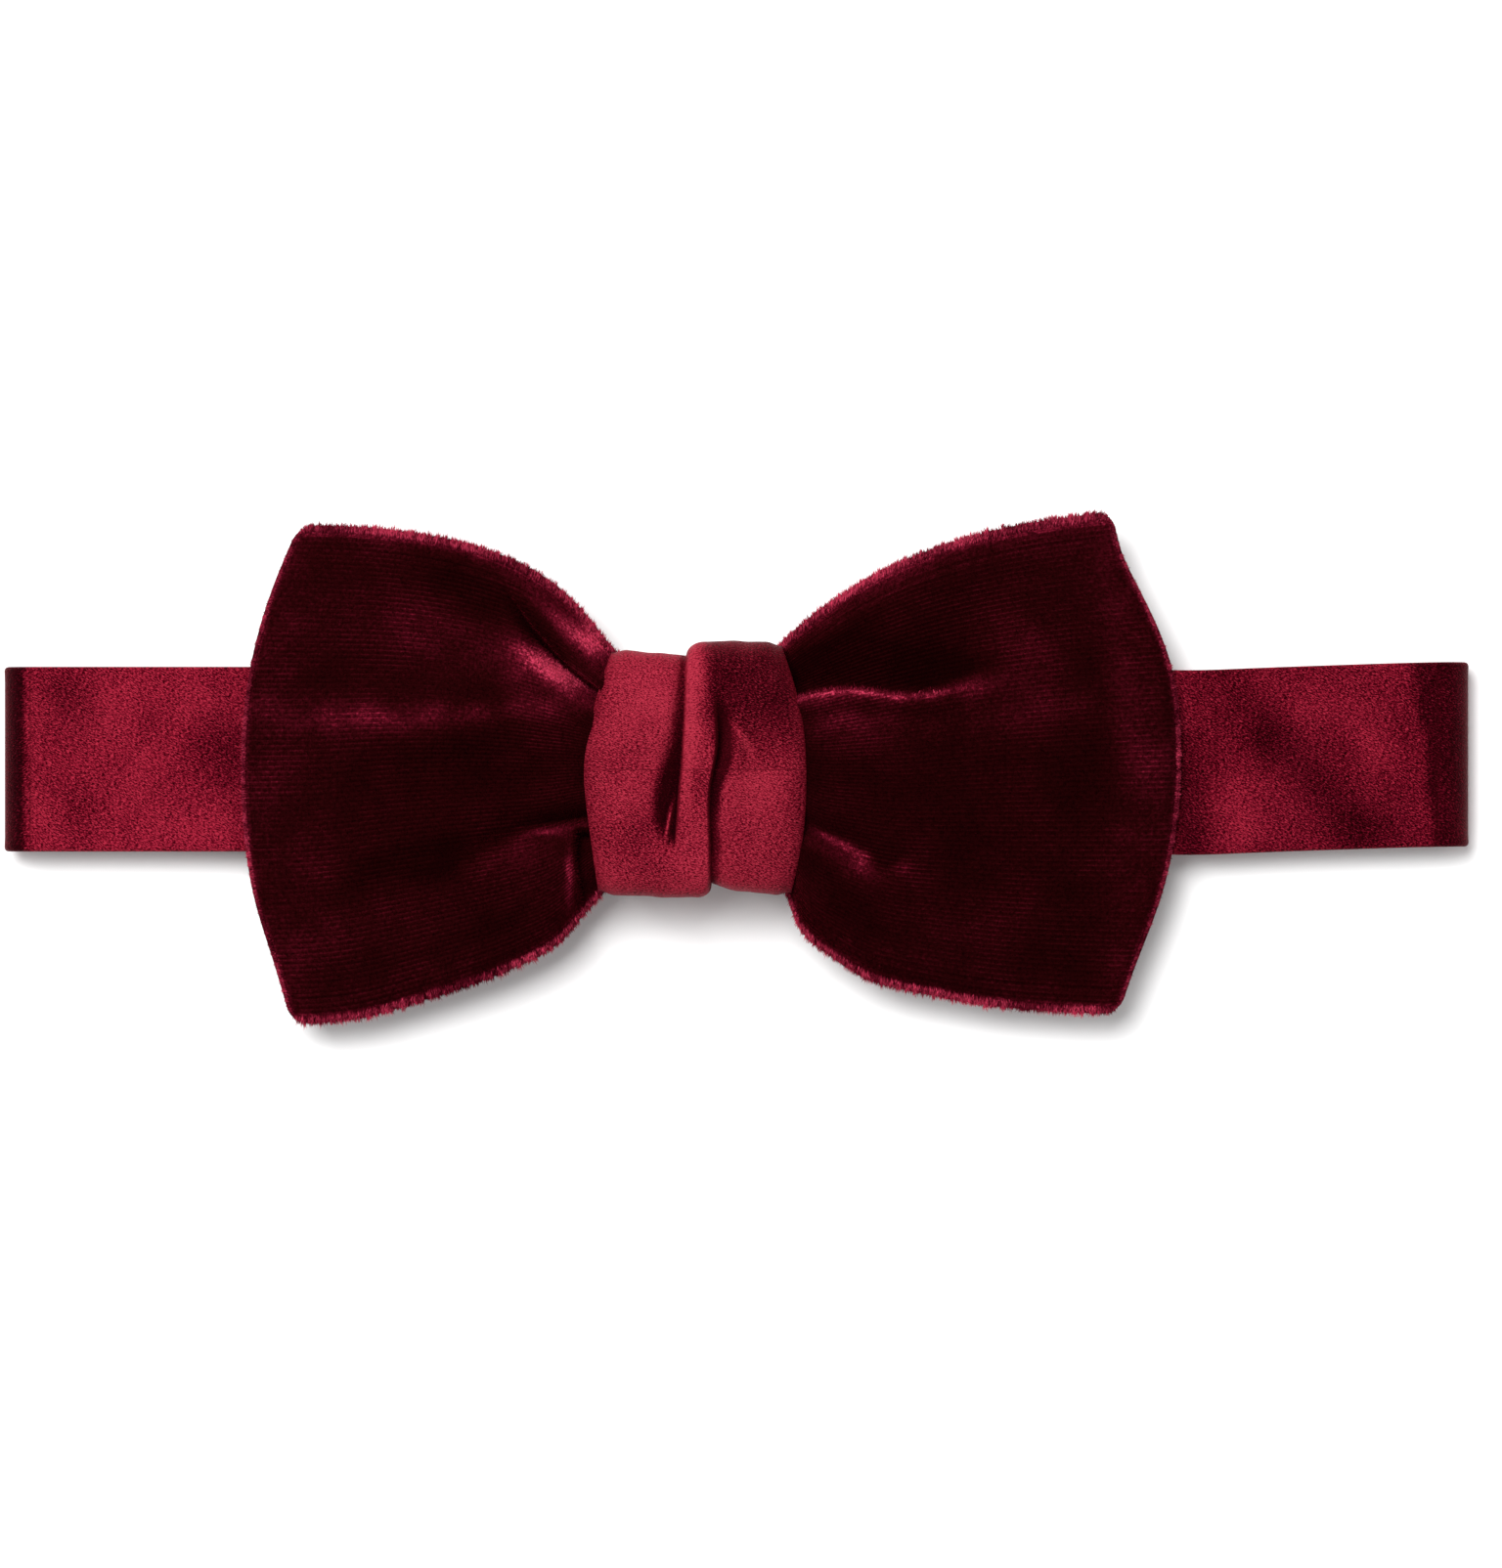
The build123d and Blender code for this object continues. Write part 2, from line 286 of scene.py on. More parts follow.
def velvet_material():
    """Short dense pile in fine rows: near black from above, crimson where sheen is painted, darker where
    shade is painted.
    """
    s = Shader("burgundy_velvet")
    place = s.node("UVMap", {"uv_map": "cloth"}).outputs["UV"]
    rows = s.node("SeparateXYZ", Vector=place).outputs["Y"]
    rib = s.math("SINE", s.math("MULTIPLY", rows, math.tau))
    dashes = s.noise(s.cloth_place(0.9, 0.8), 1.0, 3.0, 0.6)
    pile = s.noise(s.cloth_place(2.3, 1.25), 1.0, 3.0, 0.8)
    patches = s.noise(s.cloth_place(0.10, 0.055), 1.0, 4.0, 0.55)
    # each vertex's value is mostly painted light: painted sheen and painted shade over the wing
    nap_and_painted_light = s.value("nap_and_painted_light")
    thin = s.math("POWER", s.math("MAXIMUM", rib, 0.0), 2.0)
    where = s.math("MAXIMUM", s.math("SUBTRACT", patches, 0.36), 0.04)
    lines = s.math("MULTIPLY", s.math("MULTIPLY", thin, s.math("MULTIPLY", dashes, where)), 1.3)
    # the pile's speckle grows stronger where more sheen is painted
    painted_light = s.math("ADD", s.math("MULTIPLY", nap_and_painted_light, 1.7), 0.5)
    speck = s.math("MULTIPLY", s.math("SUBTRACT", pile, 0.5), painted_light)
    cloud = s.math("MULTIPLY", s.math("SUBTRACT", patches, 0.42), 0.36)
    value = s.math("ADD", s.math("ADD", nap_and_painted_light, lines), s.math("ADD", speck, cloud))
    relief = s.math("ADD", s.math("MULTIPLY", rib, 0.35), s.math("MULTIPLY", pile, 1.2))
    s.set(
        Base_Color=velvet_colours(s, value),
        Roughness=0.9,
        Specular_IOR_Level=0.0,
        Sheen_Weight=0.22,
        Sheen_Roughness=0.30,
        Sheen_Tint=rgb(0.65, 0.02, 0.06),
        Normal=s.bump(relief, 0.12, 0.8),
    )
    return s.material


def fibre_material(name, tip_sheen, roughness):
    """Single fibres of the pile: their colour, set where they grow, carries painted sheen, and more painted
    sheen turns their tips pink.
    """
    s = Shader(name)
    tone_and_sheen = s.math("ADD", s.value("tone_and_sheen"), s.math("MULTIPLY", s.value("along"), tip_sheen))
    s.set(Base_Color=velvet_colours(s, tone_and_sheen), Roughness=roughness, Specular_IOR_Level=0.0)
    return s.material


def satin_material(name, dark, middle, light, grain=1.0, turn=18.0):
    """Satin: long smooth floats that catch the light in short slanting flecks."""
    s = Shader(name)
    flecks = s.noise(s.cloth_place(2.2 * grain, 5.6 * grain, turn), 1.0, 2.0, 0.6, 0.5)
    fine = s.noise(s.cloth_place(3.0 * grain, 7.0 * grain, 1.6 * turn), 1.0, 1.0, 0.5, 0.2)
    patches = s.noise(s.cloth_place(0.11, 0.09), 1.0, 3.0, 0.5)
    shade = s.value("shade")
    speck = s.math("ADD", s.math("MULTIPLY", flecks, 0.70), s.math("MULTIPLY", fine, 0.30))
    value = s.math("ADD", s.math("MULTIPLY", speck, 0.84), s.math("MULTIPLY", patches, 0.16))
    # shade is painted shade, darkening the colour towards black; below zero it is a painted highlight
    shaded = s.math("SUBTRACT", value, s.math("MULTIPLY", shade, 0.14))
    black = tuple(0.08 * c for c in dark)
    colour = s.ramp(shaded, (0.37, black), (0.435, dark), (0.50, middle), (0.56, light))
    s.set(
        Base_Color=s.mix(s.math("MULTIPLY", shade, 0.75), colour, rgb(0.007, 0.0003, 0.0012)),
        Roughness=0.42,
        Specular_IOR_Level=0.02,
        Specular_Tint=rgb(1.0, 0.05, 0.10),
        Sheen_Weight=0.16,
        Sheen_Roughness=0.45,
        Sheen_Tint=rgb(1.0, 0.04, 0.09),
        Normal=s.bump(speck, 0.30, 0.9),
    )
    return s.material


def metal_material():
    """Nickel plate with fine rubbing marks."""
    s = Shader("nickel_plate")
    place = s.node("TexCoord").outputs["Object"]
    drawn = s.node("Mapping", Vector=place, Scale=(900, 160, 900)).outputs["Vector"]
    marks = s.noise(drawn, 2.0, 4.0)
    cloud = s.noise(place, 180.0, 3.0)
    rubbed = s.node("MapRange", Value=marks, From_Min=0.3, From_Max=0.7, To_Min=0.16, To_Max=0.34)
    s.set(
        Base_Color=s.ramp(cloud, (0.3, (0.50, 0.48, 0.45)), (0.7, (0.70, 0.68, 0.65))),
        Metallic=1.0,
        Roughness=rubbed.outputs["Result"],
        Normal=s.bump(marks, 0.01, 0.5),
    )
    return s.material


def thread_material():
    """Twisted sewing thread."""
    s = Shader("burgundy_thread")
    place = s.node("TexCoord").outputs["Object"]
    part = s.node("SeparateXYZ", Vector=place)
    slant = s.math("ADD", part.outputs["Y"], part.outputs["X"])
    twist = s.math("SINE", s.math("MULTIPLY", slant, 9000.0))
    strand = s.math("MULTIPLY_ADD", twist, 0.5)
    s.set(
        Base_Color=s.ramp(strand, (0.0, (0.10, 0.006, 0.016)), (1.0, (0.34, 0.03, 0.07))),
        Roughness=0.45,
        Sheen_Weight=0.3,
        Normal=s.bump(twist, 0.03, 0.8),
    )
    return s.material


VELVET = velvet_material()
FRINGE = fibre_material("velvet_fringe", 0.42, 0.65)
PILE = fibre_material("velvet_pile", 0.10, 0.8)
BAND = satin_material(
    "band_satin", (0.060, 0.0010, 0.0048), (0.185, 0.0050, 0.0180), (0.370, 0.0200, 0.0430),
    grain=1.15, turn=24.0,
)
KNOT = satin_material(
    "knot_satin", (0.045, 0.0008, 0.0036), (0.160, 0.0040, 0.0150), (0.345, 0.0230, 0.0440), grain=1.25,
)
BACK = satin_material("lining_satin", (0.03, 0.001, 0.003), (0.07, 0.003, 0.008), (0.14, 0.008, 0.018), 1.2)
METAL = metal_material()
THREAD = thread_material()

# ---- The bow's wings -----------------------------------------------------------------------
# Each wing is a patch between four edges. u goes from the knot outwards, along the velvet's
# rows of pile, and v from the bottom edge to the top one.
RIBS = 98  # rows of pile from the bottom edge to the top one
RIB_HEIGHT = 0.05
WING_LENGTH = 50  # roughly, for the velvet's texture
RIM_Z = cad_box("bow_velvet")[0][2]
FRINGE_REACH = 0.5  # how far the skin stays inside the outline that the pile fills
CORNER = 2.2  # how far before an outer corner its round begins
knot_low, knot_high = cad_box("knot_wrap")
KNOT_X = (knot_low[0] + knot_high[0]) / 2


def strokes(*marks):
    """Soft patches of painted light and shade: (x, y, length, width, angle in degrees, strength) each."""

    def at(x, y):
        total = np.zeros(np.shape(x))
        for x0, y0, length, width, angle, strength in marks:
            c, s = math.cos(math.radians(angle)), math.sin(math.radians(angle))
            along, across = (x - x0) * c + (y - y0) * s, (y - y0) * c - (x - x0) * s
            total = total + strength * np.exp(-((along / length) ** 2) - (across / width) ** 2)
        return total

    return at


class Wing:
    """One wing's skin. side is -1 for the left wing and 1 for the right one."""

    # the last argument gives the painted sheen and painted shade laid on the wing's velvet
    def __init__(self, side, top, outer, bottom, crown, relief, painted_light):
        self.side, self.crown, self.relief, self.painted_light = side, crown, relief, painted_light
        points = np.array(top + outer + bottom, float)
        low, high = points.min(axis=0), points.max(axis=0)
        self.middle, self.half = (low + high) / 2, (high - low) / 2
        self.top, self.bottom = through(self.inside(top)), through(self.inside(bottom))
        self.outer = through(self.inside(outer))
        self.inner = through([self.inside(bottom)[0], self.inside(top)[0]])

    def inside(self, points):
        """The outline's points, drawn in by FRINGE_REACH to leave room for the pile."""
        points = np.array(points, float)
        return points - FRINGE_REACH * (points - self.middle) / self.half

    def round_corners(self, u, v):
        """The square patch with its two outer corners drawn in to a round of CORNER."""
        share_u, share_v = CORNER / (2 * self.half[0]), CORNER / self.half[1]
        a = np.clip((u - 1) / share_u + 1, 0, 1)
        b = np.clip((np.abs(2 * v - 1) - 1) / share_v + 1, 0, 1)
        side = np.sign(2 * v - 1)
        u = u - share_u * a * (1 - np.sqrt(1 - b**2 / 2))
        v = v - side * share_v / 2 * b * (1 - np.sqrt(1 - a**2 / 2))
        return u, v

    def plan(self, u, v):
        """The place in plan of each (u, v): a patch blended between the four edges."""
        u, v = self.round_corners(u, v)
        u1, v1 = u[..., None], v[..., None]
        edges = (1 - v1) * self.bottom(u) + v1 * self.top(u)
        ends = (1 - u1) * self.inner(v) + u1 * self.outer(v)
        b0, b1 = self.bottom(np.zeros_like(u)), self.bottom(np.ones_like(u))
        t0, t1 = self.top(np.zeros_like(u)), self.top(np.ones_like(u))
        corners = (1 - u1) * ((1 - v1) * b0 + v1 * t0) + u1 * ((1 - v1) * b1 + v1 * t1)
        return edges + ends - corners

    def edge_distance(self, u, v):
        """Rough distances from the long edges and from the outer edge."""
        height = np.linalg.norm(self.top(u) - self.bottom(u), axis=-1)
        length = 2 * self.half[0]
        return np.minimum(v, 1 - v) * height, (1 - u) * length

    def skin(self, u, v):
        """Points of the velvet's front."""
        place = self.plan(u, v)
        x, y = place[..., 0], place[..., 1]
        side, end = self.edge_distance(u, v)
        out = np.abs(x - KNOT_X)
        roll = profile((0, 6.5), (14, 6.0), (25, 4.5), (40, 3.2), (62, 2.3))(out)
        around = np.sqrt(1 - (1 - np.clip(side / roll, 0, 1)) ** 2)
        outwards = np.sqrt(1 - (1 - np.clip(end / 2.0, 0, 1)) ** 2)
        height = self.crown(out) - 0.0011 * y**2 + self.relief(x, y, out)
        # the seam that joins the velvet to its turned edge shows as a fine groove
        groove = hump(side - 2.9, 0.28) * ease(0.5, 3.0, end)
        height = height - 0.16 * groove
        z = RIM_Z + (np.maximum(height, RIM_Z + 0.9) - RIM_Z) * around * outwards
        return np.stack([x, y, z], -1)


def crease(line, start, full, fade, end):
    """The signed distance above a crease and its strength there, as a function of x, y.

    line is the crease's points. Its strength grows from start to full, and dies away from fade
    to end, all measured from the middle of the knot.
    """
    path = profile(*sorted(line))

    def at(x, y):
        slope = (path(x + 0.1) - path(x - 0.1)) / 0.2
        away = (y - path(x)) / np.sqrt(1 + slope**2)
        out = np.abs(x - KNOT_X)
        return away, ease(start, full, out) * (1 - ease(fade, end, out))

    return at


left_upper = crease(
    [(-18, 10.4), (-22.0, 13.4), (-25.2, 16.7), (-27.5, 19.5), (-29.3, 22.0), (-34, 27.5)],
    start=8, full=13, fade=18, end=27,
)
left_lower = crease(
    [(-17, -6.2), (-22.0, -7.1), (-31.4, -8.7), (-38.7, -11.2), (-46, -13.0)],
    start=8, full=12, fade=18, end=40,
)
left_ridge = crease(
    [(-17, 8.9), (-24, 10.8), (-33, 10.0), (-46, 8.2), (-66, 7.4)], start=8, full=12, fade=26, end=62
)
right_upper = crease(
    [
        (6, 9.0), (7.6, 9.4), (13.1, 10.6), (18, 10.4), (22.7, 9.9), (26, 10.2), (29.5, 11.1),
        (34.3, 12.6), (40, 15),
    ],
    start=8, full=11, fade=28, end=42,
)
right_lower = crease(
    [(6, -7.9), (10.7, -8.9), (14.5, -10.7), (18.4, -13.2), (24, -17.0)], start=8, full=12, fade=19, end=29
)


def left_relief(x, y, out):
    """How far the left wing's creases and rolls move its skin; out is the way from the knot."""
    away, strength = left_upper(x, y)
    # the upper roll hangs over a deep slit, and the cloth below rises again in a soft ridge
    slit = ease(0.25, -0.15, away) * hump(np.minimum(away, 0), 1.8)
    relief = strength * (1.3 * hump(away - 1.5, 1.7) - 4.4 * slit)
    relief -= 1.3 * hump(np.hypot((x + 34) / 1.6, y - 22.5), 4.2)
    away, strength = left_ridge(x, y)
    relief += strength * (1.5 * hump(away + 2.5, 5.0) - 0.7 * ease(0.5, 6.0, away) * hump(away - 5, 6.0))
    away, strength = left_lower(x, y)
    wide = 1.5 + 0.09 * np.maximum(out - 14, 0)
    wedge = ease(-1.0, 0.7, away) * hump(np.maximum(away, 0), wide)
    relief += strength * (1.4 * hump(away + 4.6, 3.0) - 3.0 * wedge)
    # low by the knot the cloth folds sharply back
    relief -= 3.6 * ease(-21.5, -20.9, x + 0.12 * np.minimum(y + 12, 0)) * ease(-7.5, -9.0, y)
    return relief + 0.25 * waves(x, y, 26, 3) * ease(12, 22, out)


def right_relief(x, y, out):
    """The same for the right wing."""
    away, strength = right_upper(x, y)
    soft = 0.25 + 0.07 * np.maximum(out - 28, 0) ** 1.25
    valley = ease(-soft, soft, away) * hump(np.maximum(away, 0), 4.2 + 0.10 * out)
    relief = strength * (1.1 * hump(away + 1.0, 1.5) - 4.2 * valley)
    relief += 0.8 * hump(np.hypot(x - 38, y - 16.5), 7.0)
    away, strength = right_lower(x, y)
    relief += strength * (0.6 * hump(away + 2.0, 1.8) - 1.5 * hump(away - 0.5, 1.0 + 0.05 * out))
    return relief + 0.25 * waves(x, y, 24, 8) * ease(12, 22, out)


# Painted light on the velvet, in patches: positive strengths are painted sheen, negative ones painted shade
# in slits and creases.
left_light_strokes = strokes(
    (-24.2, 13.3, 5.5, 1.7, -36, 0.60),
    (-29.0, 14.0, 7.0, 3.0, -38, 0.26),
    (-38.0, 16.0, 9.0, 4.5, -25, 0.15),
    (-34.0, 7.6, 15.0, 2.0, 3, 0.24),
    (-52.0, 7.0, 15.0, 2.6, -2, 0.22),
    (-52.0, 22.0, 11.0, 5.5, 10, 0.12),
    (-57.0, -6.0, 6.0, 16.0, 0, 0.10),
    (-21.0, 18.2, 4.0, 1.4, -50, 0.32),
    (-27.0, -12.0, 9.0, 5.0, -25, 0.17),
    (-24.5, -8.3, 5.0, 0.7, -8, 0.20),
    (-48.0, -22.0, 14.0, 8.0, 8, 0.07),
    (-22.0, -14.0, 0.5, 4.0, 0, 0.35),
    (-25.5, 17.0, 4.2, 0.7, -47, -0.85),
    (-23.0, 18.8, 5.5, 1.2, -48, 0.30),
    (-18.8, 16.8, 2.6, 1.4, -55, 0.40),
    (-36.0, 23.8, 9.0, 3.6, -28, -0.16),
    (-32.0, -9.1, 8.0, 0.9, 17, -0.45),
    (-42.0, -12.0, 9.0, 2.6, 14, -0.20),
    (-30.0, 1.0, 12.0, 4.0, 0, -0.06),
)
right_light_strokes = strokes(
    (11.5, 8.9, 5.0, 1.0, 10, 0.26),
    (14.5, 6.6, 6.0, 2.6, 0, 0.22),
    (20.0, 9.1, 5.5, 0.8, -5, 0.16),
    (31.0, 10.6, 6.0, 1.6, 16, 0.26),
    (24.0, 6.0, 15.0, 3.5, 4, 0.13),
    (39.5, 16.0, 5.0, 3.0, -35, 0.13),
    (42.0, 9.0, 9.0, 3.5, 0, 0.13),
    (51.5, 9.0, 3.0, 13.0, 10, 0.15),
    (46.0, 27.0, 10.0, 6.0, 20, 0.11),
    (12.8, -9.3, 4.5, 0.6, -26, 0.42),
    (16.0, -11.6, 3.5, 1.2, -38, 0.26),
    (22.0, -13.0, 1.6, 1.0, 10, 0.20),
    (14.5, -12.0, 5.0, 2.2, -35, 0.20),
    (27.0, -20.0, 14.0, 6.0, -20, 0.06),
    (51.0, -12.0, 3.0, 12.0, -6, 0.12),
    (14.5, 14.2, 9.0, 2.6, 4, -0.30),
    (25.0, 12.9, 6.0, 1.6, 10, -0.30),
    (19.6, -11.6, 1.6, 1.3, 20, -0.35),
)


def left_painted_light(x, y):
    """The left wing's painted sheen and shade, with a painted highlight on the lip under its two creases."""
    away, strength = left_upper(x, y)
    lip = 0.25 * strength * hump(away + 0.6, 0.5)
    away, strength = left_lower(x, y)
    return left_light_strokes(x, y) + lip + 0.16 * strength * hump(away + 0.7, 0.6) * ease(-34, -28, x)


def right_painted_light(x, y):
    """The right wing's painted sheen and shade, with a crisp painted highlight on the lip under its upper
    crease.
    """
    away, strength = right_upper(x, y)
    return right_light_strokes(x, y) + 0.40 * strength * hump(away + 0.4, 0.45) * ease(33, 28, x)


CROWN = profile((0, 17.6), (12, 17.3), (20, 16.4), (32, 14.2), (46, 12.3), (64, 11.2))
left_wing = Wing(
    -1,
    top=[
        (-12.0, 12.4), (-16.4, 16.4), (-19.4, 20.1), (-23.6, 24.3), (-31.4, 28.7), (-38.7, 30.8),
        (-47.1, 32.1), (-58.2, 32.6),
    ],
    outer=[
        (-59.2, -34.0), (-61.7, -25.4), (-64.1, -17.5), (-65.4, -9.7), (-65.9, -0.3), (-65.5, 8.1),
        (-64.1, 16.4), (-61.7, 24.3), (-58.2, 32.6),
    ],
    bottom=[
        (-12.0, -12.0), (-17.4, -16.4), (-20.0, -19.2), (-23.1, -22.8), (-27.2, -25.4), (-34.6, -28.5),
        (-41.9, -30.9), (-50.2, -33.2), (-59.2, -34.0),
    ],
    crown=CROWN,
    relief=left_relief,
    painted_light=left_painted_light,
)
right_wing = Wing(
    1,
    top=[(2.0, 12.6), (5.9, 17.0), (10.7, 21.0), (16.5, 25.0), (24.2, 28.7), (37.2, 32.5), (50.1, 34.4)],
    outer=[
        (50.9, -32.7), (53.0, -26.6), (55.4, -20.4), (57.6, -13.2), (58.9, -5.0), (59.2, 2.5), (58.9, 8.0),
        (57.8, 14.2), (55.4, 20.5), (53.0, 25.3), (51.1, 29.6), (50.1, 34.4),
    ],
    bottom=[
        (2.0, -12.0), (6.4, -16.6), (8.3, -21.3), (12.2, -24.8), (16.5, -27.6), (22.7, -29.5), (32.9, -31.4),
        (50.9, -32.7),
    ],
    crown=CROWN,
    relief=right_relief,
    painted_light=right_painted_light,
)


def turned_edge(skin, depth=3.0):
    """The skin with its edges turned in behind it, as a border of extra rows and columns."""
    middle = skin[0, skin.shape[1] // 2].copy()

    def tucked(edge, reach, drop):
        inwards = middle[:2] - edge[..., :2]
        inwards /= np.linalg.norm(inwards, axis=-1, keepdims=True)
        moved = edge.copy()
        moved[..., :2] += inwards * reach
        moved[..., 2] = RIM_Z - drop
        return moved

    def hem(edge):
        return [tucked(edge, depth, 0.15), tucked(edge, 0.3, 0.1)]

    wide = np.concatenate([*hem(skin[:, :1]), skin, *reversed(hem(skin[:, -1:]))], axis=1)
    return np.concatenate([wide, *reversed(hem(wide[-1:]))], axis=0)


def padded_like(values):
    """Values of the skin's grid, repeated over the border that turned_edge adds."""
    return np.pad(values, ((0, 2), (2, 2)), mode="edge")


def nap_and_painted_light_of(wing, skin, normal, u, v):
    """How far the pile lies over and how much painted light it carries, from 0 to 1: painted sheen by the
    edges, painted light and shade on the rolls by which way they face, the painted patches, and the seam's
    parting.
    """
    side, end = wing.edge_distance(u, v)
    x, y = skin[..., 0], skin[..., 1]
    # painted sheen along the long edges and the outer edge
    rim = 0.42 * ease(1.6, 0.2, side) + 0.10 * ease(6, 1, side)
    rim = np.maximum(rim, 0.34 * ease(0.9, 0.1, end) + 0.10 * ease(8, 1, end))
    rim = rim * (1 + 0.35 * waves(x, y, 5, 17))
    # painted light by slope: lighter where the skin faces +Y, towards the lamp, and painted shade where it
    # faces -Y
    turned = 0.12 * ease(0.1, 0.8, normal[..., 1]) - 0.08 * ease(-0.1, -0.8, normal[..., 1])
    nap_and_painted_light = 0.10 + rim + turned + wing.painted_light(x, y) * (1 + 0.3 * waves(x, y, 6, 6))
    parting = hump(side - 3.1, 0.25) + 0.6 * hump(side - 4.2, 0.22)
    nap_and_painted_light = nap_and_painted_light + 0.10 * parting * ease(-0.2, 0.9, waves(x, y, 3, 31)) * ease(4, 7, end)
    return np.clip(nap_and_painted_light + 0.05 * waves(x, y, 20, 9), 0, 1)


def wing_velvet(name, wing):
    """The velvet front of a wing, with its rows of pile and its edges turned in."""
    columns, rows = RIBS * 6 + 1, 250
    u, v = np.meshgrid(np.linspace(0, 1, rows) ** 1.2, np.linspace(0, 1, columns), indexing="ij")
    skin = wing.skin(u, v)
    normal = normals_of(skin)
    nap_and_painted_light = nap_and_painted_light_of(wing, skin, normal, u, v)
    side, end = wing.edge_distance(u, v)
    body = ease(0, 1.5, side) * ease(0, 1.5, end)
    rib = np.cos(math.tau * RIBS * v) * RIB_HEIGHT
    skin = skin + normal * (rib * body)[..., None]
    points = turned_edge(skin)
    thing = make_object(name, points.reshape(-1, 3), grid_faces(*points.shape[:2]).tolist(), VELVET)
    add_uv(thing, np.stack([padded_like(u * WING_LENGTH), padded_like(v * RIBS)], -1).reshape(-1, 2))
    # the value carries painted sheen and painted shade into the velvet's colour
    add_value(thing, "nap_and_painted_light", padded_like(nap_and_painted_light))
    return thing


def slab(name, middle, thickness, material, smooth=True):
    """A closed sheet about a grid of middle points, with rounded-off edges."""
    normal = normals_of(middle)
    rows, columns = middle.shape[:2]
    edge = np.ones((rows, columns))
    edge[0], edge[-1], edge[:, 0], edge[:, -1] = 0.3, 0.3, 0.3, 0.3
    reach = (edge * thickness / 2)[..., None]
    top, under = middle + normal * reach, middle - normal * reach
    faces = grid_faces(rows, columns)
    count = rows * columns
    index = np.arange(count).reshape(rows, columns)
    ring = np.concatenate([index[:-1, 0], index[-1, :-1], index[:0:-1, -1], index[0, :0:-1]])
    after = np.roll(ring, -1)
    walls = np.stack([ring, after, after + count, ring + count], -1)
    faces = np.concatenate([faces, faces[:, ::-1] + count, walls])
    points = np.concatenate([top.reshape(-1, 3), under.reshape(-1, 3)])
    return make_object(name, points, faces.tolist(), material, smooth)


def wing_back(name, wing):
    """The satin back of a wing, its edge rising to meet the velvet's rim."""
    u, v = np.meshgrid(np.linspace(0, 1, 60), np.linspace(0, 1, 70), indexing="ij")
    place = wing.plan(u, v)
    place = place + 0.35 * (place - wing.middle) / wing.half
    side, end = wing.edge_distance(u, v)
    x, y = place[..., 0], place[..., 1]
    low = RIM_Z - 1.15 + 0.12 * waves(x, y, 18, 12)
    rise = 0.75 * np.maximum(ease(3.0, 0, side), ease(3.0, 0, end))
    thing = slab(name, np.stack([x, y, low + rise], -1), 0.45, BACK)
    add_uv(thing, np.tile(place.reshape(-1, 2), (2, 1)))
    return thing


def place_and_normal(wing, u, v, step=0.004):
    """Scattered places on the wing's skin, and its unit normals there."""
    du = wing.skin(np.clip(u + step, 0, 1), v) - wing.skin(np.clip(u - step, 0, 1), v)
    dv = wing.skin(u, np.clip(v + step, 0, 1)) - wing.skin(u, np.clip(v - step, 0, 1))
    normal = np.cross(du, dv)
    normal /= np.maximum(np.linalg.norm(normal, axis=-1, keepdims=True), 1e-9)
    return wing.skin(u, v), normal * np.sign(normal[:, 2:3] + 1e-6)


def fringe(name, wing, seed):
    """The pile that stands out round the wing's edges, as single tapering fibres."""
    random = np.random.default_rng(seed)
    groups = []
    length = 2 * wing.half[0]
    # the last number of each edge is painted sheen: the top and bottom fringes are painted lighter than the
    # outer one
    for edge, number, reach, strip, edge_sheen in (
        ("top", 7500, 0.95, 0.85, 0.53),
        ("bottom", 7500, 0.95, 0.85, 0.53),
        ("outer", 14000, 0.42, 0.4, 0.42),
    ):
        along = random.uniform(0, 1, number)
        inside = random.uniform(0, 1, number) ** 1.5 * strip
        if edge == "outer":
            u, v = 1 - inside / length, along
        else:
            local = np.linalg.norm(wing.top(along) - wing.bottom(along), axis=-1)
            u, v = along, inside / local if edge == "bottom" else 1 - inside / local
        u, v = np.clip(u, 0, 1), np.clip(v, 0, 1)
        root, normal = place_and_normal(wing, u, v)
        away = np.zeros((number, 3))
        if edge == "outer":
            away[:, 0] = wing.side
        else:
            away[:, 1] = np.sign(root[:, 1] - wing.middle[1])
        clump = waves(along * 60, inside * 0.3, 1.1, seed + 1)
        size = reach * random.uniform(0.45, 1.1, number) * (1 + 0.40 * clump) * (1 - 0.25 * inside)
        lean = away * 1.1 + normal * 0.4 + random.normal(0, 0.20, (number, 3))
        lean[:, :2] += clump[:, None] * (0.16, 0.05)
        lean /= np.linalg.norm(lean, axis=-1, keepdims=True)
        patch = 0.16 * waves(root[:, 0], root[:, 1], 16, seed + 5)
        tone_and_sheen = edge_sheen + patch + 0.14 * clump + random.normal(0, 0.11, number)
        groups.append((root, lean, size, tone_and_sheen))
    root, lean, size, tone_and_sheen = (np.concatenate(values) for values in zip(*groups))
    return fibres(name, root, lean, size, tone_and_sheen, width=0.12, material=FRINGE, random=random)


